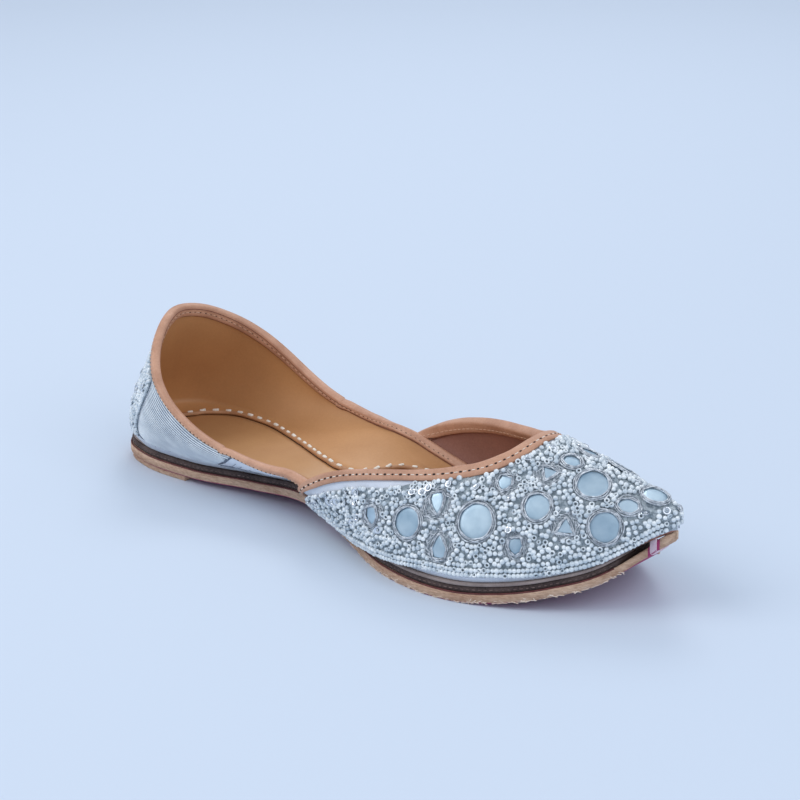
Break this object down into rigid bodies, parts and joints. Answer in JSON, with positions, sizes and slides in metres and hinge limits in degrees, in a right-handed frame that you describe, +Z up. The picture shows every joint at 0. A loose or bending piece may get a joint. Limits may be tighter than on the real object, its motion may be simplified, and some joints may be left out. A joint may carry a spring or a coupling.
{
  "type": "mojari shoe",
  "caption": "Flat slip-on leather mojari with a pointed upturned toe, a low open waist, a high curved back and a beaded, mirrored vamp.",
  "frame": {"origin": "middle of the bounding box in plan, at the underside of the heel lift and of the forefoot", "axes": "+X from the heel to the toe, -Y towards the inner side of the foot, +Z up"},
  "size_m": [0.253, 0.083, 0.0601],
  "materials": {
    "raw_leather": "raw cut vegetable-tanned leather, matt, fibrous at the edge",
    "dark_leather": "dark brown welt leather, matt",
    "board": "thin grey-tan leather board, matt",
    "lining_leather": "smooth tan leather",
    "satin": "white satin over leather, with silver thread",
    "binding_leather": "light rose-tan leather, smooth",
    "beadwork": "white glass beads, silver sequins and thread on satin"
  },
  "bodies": {
    "root": {"heel_lift": "raw_leather", "outsole": "raw_leather", "midsole": "dark_leather", "insole_board": "board", "insole": "lining_leather", "upper": "satin", "quarter_binding": "binding_leather", "vamp_binding": "binding_leather", "vamp_beadwork": "beadwork", "heel_beadwork": "beadwork"}
  },
  "joints": []
}
